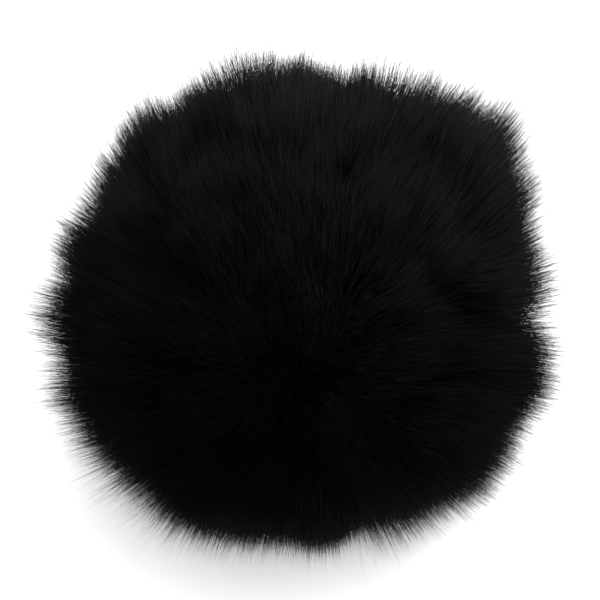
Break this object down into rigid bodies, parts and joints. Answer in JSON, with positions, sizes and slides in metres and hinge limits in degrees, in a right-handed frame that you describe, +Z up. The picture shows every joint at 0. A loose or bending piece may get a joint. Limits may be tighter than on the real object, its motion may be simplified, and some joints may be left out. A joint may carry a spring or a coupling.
{
  "type": "furry microphone windscreen",
  "caption": "Round black furry windscreen: a gored long-pile cover with an elastic mouth, slipped over a domed foam insert with a rubber collar.",
  "frame": {"origin": "middle of the collar's flat base, on which the windscreen stands", "axes": "+Z up the microphone socket towards the crown; a seam lies 7 degrees clockwise of +X"},
  "size_m": [0.0958, 0.0958, 0.0879],
  "materials": {
    "long_pile_fur": "soft long-pile black modacrylic fur",
    "backing_knit": "black warp-knit backing",
    "lining_jersey": "smooth black jersey",
    "seam_tape_twill": "black twill tape",
    "casing_webbing": "black ribbed polyester",
    "elastic_band": "black woven elastic",
    "sewing_thread": "black polyester thread",
    "windscreen_foam": "charcoal open-cell foam",
    "collar_rubber": "matte black moulded rubber"
  },
  "bodies": {
    "foam_insert": {"base_collar": "collar_rubber", "foam_barrel": "windscreen_foam", "foam_dome": "windscreen_foam"},
    "fur_cover": {"inner_lining": "lining_jersey", "crown_patch": "seam_tape_twill", "hem_casing": "casing_webbing", "mouth_elastic": "elastic_band", "hem_stitching": "sewing_thread", "seam_tape_1": "seam_tape_twill", "seam_tape_2": "seam_tape_twill", "seam_tape_3": "seam_tape_twill", "seam_tape_4": "seam_tape_twill", "seam_tape_5": "seam_tape_twill", "seam_tape_6": "seam_tape_twill", "gore_backing_1": "backing_knit", "gore_backing_2": "backing_knit", "gore_backing_3": "backing_knit", "gore_backing_4": "backing_knit", "gore_backing_5": "backing_knit", "gore_backing_6": "backing_knit", "fur_pile_1": "long_pile_fur", "fur_pile_2": "long_pile_fur", "fur_pile_3": "long_pile_fur", "fur_pile_4": "long_pile_fur", "fur_pile_5": "long_pile_fur", "fur_pile_6": "long_pile_fur"}
  },
  "joints": [
    {"name": "cover_lift_off", "type": "slide", "parent": "foam_insert", "child": "fur_cover", "axis": [0, 0, 1], "range_m": [0, 0.07]}
  ]
}
